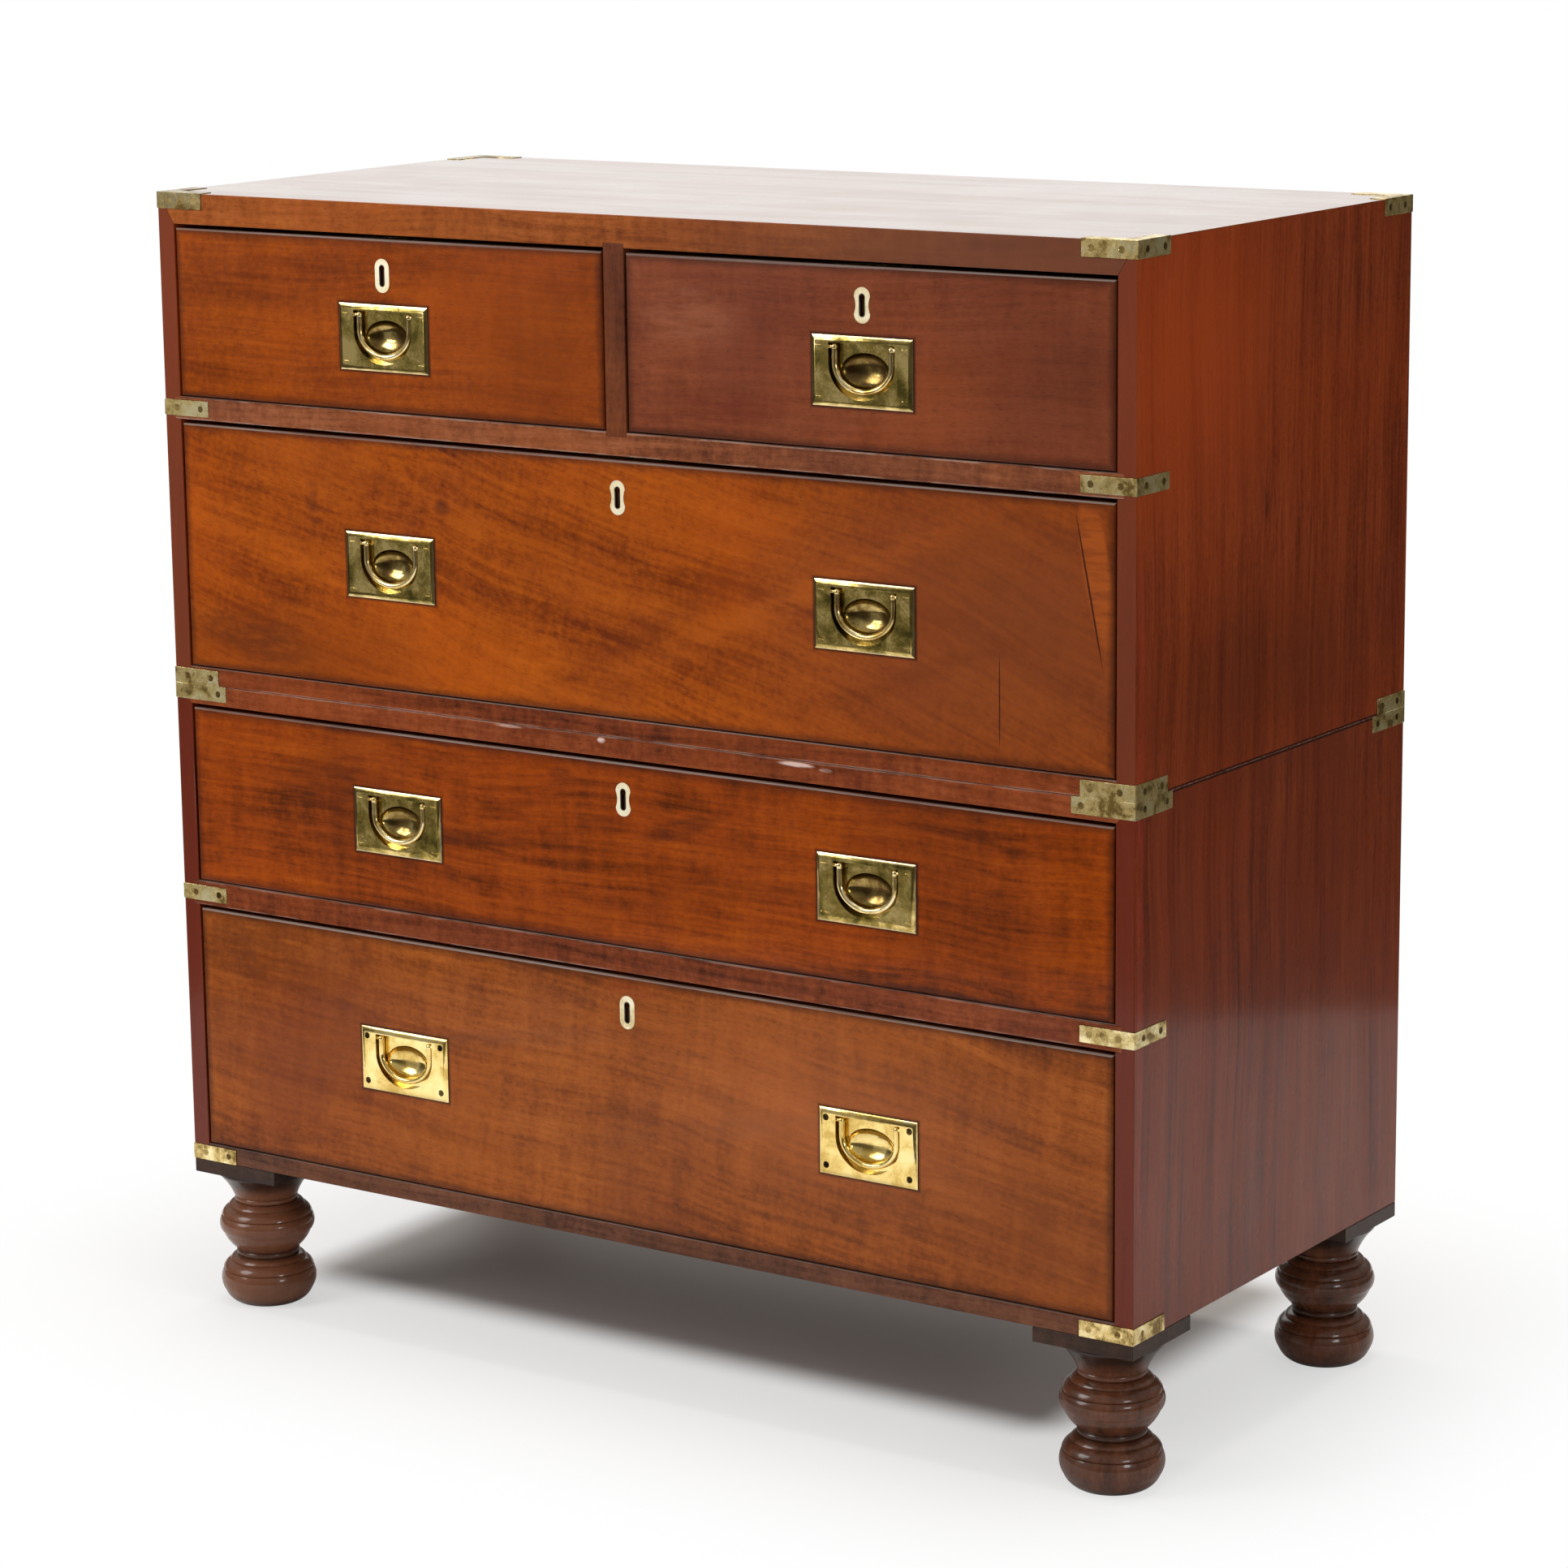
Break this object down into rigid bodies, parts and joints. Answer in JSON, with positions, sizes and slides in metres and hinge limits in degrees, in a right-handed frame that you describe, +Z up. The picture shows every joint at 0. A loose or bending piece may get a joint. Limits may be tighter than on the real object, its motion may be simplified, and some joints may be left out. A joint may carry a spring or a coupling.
{
  "type": "campaign chest",
  "caption": "Campaign chest of drawers in two stacked cases, with recessed drop handles, brass corner straps, locks and turned screw-in feet.",
  "frame": {"origin": "on the floor under the middle of the chest's overall box", "axes": "+Z up, the drawers face -Y and pull out along -Y, +X to the right when looking along +Y at the front"},
  "size_m": [0.9912, 0.4626, 1.0196],
  "materials": {
    "carcase_mahogany": "French polished, red-brown",
    "front_mahogany": "waxed, orange-brown",
    "lining_wood": "bare, dry",
    "back_wood": "bare, stained",
    "foot_mahogany": "polished, dark",
    "aged_brass": "aged, dull with bright edges",
    "bright_brass": "cleaned and polished",
    "dark_screws": "tarnished"
  },
  "bodies": {
    "lower_case": {"lower_top": "carcase_mahogany", "lower_sides": "carcase_mahogany", "lower_base": "carcase_mahogany", "lower_back": "back_wood", "lower_divider": "carcase_mahogany", "lower_straps": "aged_brass", "lower_strap_screws": "dark_screws", "foot_blocks": "foot_mahogany", "locating_pegs": "lining_wood"},
    "upper_case": {"upper_top": "carcase_mahogany", "upper_sides": "carcase_mahogany", "upper_bottom": "carcase_mahogany", "upper_back": "back_wood", "upper_divider": "carcase_mahogany", "upper_partition": "carcase_mahogany", "upper_straps": "aged_brass", "upper_strap_screws": "dark_screws"},
    "left_short_drawer": {"left_short_drawer_front": "front_mahogany", "left_short_drawer_box": "lining_wood", "left_short_drawer_lock": "aged_brass", "left_short_drawer_handle_plates": "aged_brass", "left_short_drawer_screws": "dark_screws"},
    "left_short_drawer_bolt": {"left_short_drawer_bolt": "aged_brass"},
    "left_short_drawer_bail": {"left_short_drawer_bail": "aged_brass"},
    "right_short_drawer": {"right_short_drawer_front": "front_mahogany", "right_short_drawer_box": "lining_wood", "right_short_drawer_lock": "aged_brass", "right_short_drawer_handle_plates": "aged_brass", "right_short_drawer_screws": "dark_screws"},
    "right_short_drawer_bolt": {"right_short_drawer_bolt": "aged_brass"},
    "right_short_drawer_bail": {"right_short_drawer_bail": "aged_brass"},
    "deep_drawer": {"deep_drawer_front": "front_mahogany", "deep_drawer_box": "lining_wood", "deep_drawer_lock": "aged_brass", "deep_drawer_handle_plates": "aged_brass", "deep_drawer_screws": "dark_screws"},
    "deep_drawer_bolt": {"deep_drawer_bolt": "aged_brass"},
    "deep_drawer_left_bail": {"deep_drawer_left_bail": "aged_brass"},
    "deep_drawer_right_bail": {"deep_drawer_right_bail": "aged_brass"},
    "shallow_drawer": {"shallow_drawer_front": "front_mahogany", "shallow_drawer_box": "lining_wood", "shallow_drawer_lock": "aged_brass", "shallow_drawer_handle_plates": "aged_brass", "shallow_drawer_screws": "dark_screws"},
    "shallow_drawer_bolt": {"shallow_drawer_bolt": "aged_brass"},
    "shallow_drawer_left_bail": {"shallow_drawer_left_bail": "aged_brass"},
    "shallow_drawer_right_bail": {"shallow_drawer_right_bail": "aged_brass"},
    "bottom_drawer": {"bottom_drawer_front": "front_mahogany", "bottom_drawer_box": "lining_wood", "bottom_drawer_lock": "aged_brass", "bottom_drawer_handle_plates": "bright_brass", "bottom_drawer_screws": "dark_screws"},
    "bottom_drawer_bolt": {"bottom_drawer_bolt": "aged_brass"},
    "bottom_drawer_left_bail": {"bottom_drawer_left_bail": "bright_brass"},
    "bottom_drawer_right_bail": {"bottom_drawer_right_bail": "bright_brass"},
    "front_left_foot": {"front_left_foot": "foot_mahogany"},
    "front_right_foot": {"front_right_foot": "foot_mahogany"},
    "back_left_foot": {"back_left_foot": "foot_mahogany"},
    "back_right_foot": {"back_right_foot": "foot_mahogany"}
  },
  "joints": [
    {"name": "upper_case_lift", "type": "slide", "parent": "lower_case", "child": "upper_case", "axis": [0, 0, 1], "range_m": [0, 0.12]},
    {"name": "left_short_drawer_slide", "type": "slide", "parent": "upper_case", "child": "left_short_drawer", "axis": [0, -1, 0], "range_m": [0, 0.36]},
    {"name": "left_short_drawer_bolt_throw", "type": "slide", "parent": "left_short_drawer", "child": "left_short_drawer_bolt", "axis": [0, 0, 1], "range_m": [0, 0.008]},
    {"name": "left_short_drawer_bail_swing", "type": "hinge", "parent": "left_short_drawer", "child": "left_short_drawer_bail", "pos_m": [-0.244, -0.2283, 0.923], "axis": [-1, 0, 0], "range_deg": [0, 90]},
    {"name": "right_short_drawer_slide", "type": "slide", "parent": "upper_case", "child": "right_short_drawer", "axis": [0, -1, 0], "range_m": [0, 0.36]},
    {"name": "right_short_drawer_bolt_throw", "type": "slide", "parent": "right_short_drawer", "child": "right_short_drawer_bolt", "axis": [0, 0, 1], "range_m": [0, 0.008]},
    {"name": "right_short_drawer_bail_swing", "type": "hinge", "parent": "right_short_drawer", "child": "right_short_drawer_bail", "pos_m": [0.244, -0.2283, 0.923], "axis": [-1, 0, 0], "range_deg": [0, 90]},
    {"name": "deep_drawer_slide", "type": "slide", "parent": "upper_case", "child": "deep_drawer", "axis": [0, -1, 0], "range_m": [0, 0.36]},
    {"name": "deep_drawer_bolt_throw", "type": "slide", "parent": "deep_drawer", "child": "deep_drawer_bolt", "axis": [0, 0, 1], "range_m": [0, 0.008]},
    {"name": "deep_drawer_left_bail_swing", "type": "hinge", "parent": "deep_drawer", "child": "deep_drawer_left_bail", "pos_m": [-0.244, -0.2283, 0.7252], "axis": [-1, 0, 0], "range_deg": [0, 90]},
    {"name": "deep_drawer_right_bail_swing", "type": "hinge", "parent": "deep_drawer", "child": "deep_drawer_right_bail", "pos_m": [0.244, -0.2283, 0.7252], "axis": [-1, 0, 0], "range_deg": [0, 90]},
    {"name": "shallow_drawer_slide", "type": "slide", "parent": "lower_case", "child": "shallow_drawer", "axis": [0, -1, 0], "range_m": [0, 0.36]},
    {"name": "shallow_drawer_bolt_throw", "type": "slide", "parent": "shallow_drawer", "child": "shallow_drawer_bolt", "axis": [0, 0, 1], "range_m": [0, 0.008]},
    {"name": "shallow_drawer_left_bail_swing", "type": "hinge", "parent": "shallow_drawer", "child": "shallow_drawer_left_bail", "pos_m": [-0.244, -0.2283, 0.4987], "axis": [-1, 0, 0], "range_deg": [0, 90]},
    {"name": "shallow_drawer_right_bail_swing", "type": "hinge", "parent": "shallow_drawer", "child": "shallow_drawer_right_bail", "pos_m": [0.244, -0.2283, 0.4987], "axis": [-1, 0, 0], "range_deg": [0, 90]},
    {"name": "bottom_drawer_slide", "type": "slide", "parent": "lower_case", "child": "bottom_drawer", "axis": [0, -1, 0], "range_m": [0, 0.36]},
    {"name": "bottom_drawer_bolt_throw", "type": "slide", "parent": "bottom_drawer", "child": "bottom_drawer_bolt", "axis": [0, 0, 1], "range_m": [0, 0.008]},
    {"name": "bottom_drawer_left_bail_swing", "type": "hinge", "parent": "bottom_drawer", "child": "bottom_drawer_left_bail", "pos_m": [-0.244, -0.2283, 0.2827], "axis": [-1, 0, 0], "range_deg": [0, 90]},
    {"name": "bottom_drawer_right_bail_swing", "type": "hinge", "parent": "bottom_drawer", "child": "bottom_drawer_right_bail", "pos_m": [0.244, -0.2283, 0.2827], "axis": [-1, 0, 0], "range_deg": [0, 90]},
    {"name": "front_left_foot_unscrew", "type": "hinge", "parent": "lower_case", "child": "front_left_foot", "pos_m": [-0.45, -0.1843, 0.125], "axis": [0, 0, 1], "range_deg": [0, 360]},
    {"name": "front_right_foot_unscrew", "type": "hinge", "parent": "lower_case", "child": "front_right_foot", "pos_m": [0.45, -0.1843, 0.125], "axis": [0, 0, 1], "range_deg": [0, 360]},
    {"name": "back_left_foot_unscrew", "type": "hinge", "parent": "lower_case", "child": "back_left_foot", "pos_m": [-0.45, 0.1857, 0.125], "axis": [0, 0, 1], "range_deg": [0, 360]},
    {"name": "back_right_foot_unscrew", "type": "hinge", "parent": "lower_case", "child": "back_right_foot", "pos_m": [0.45, 0.1857, 0.125], "axis": [0, 0, 1], "range_deg": [0, 360]}
  ]
}
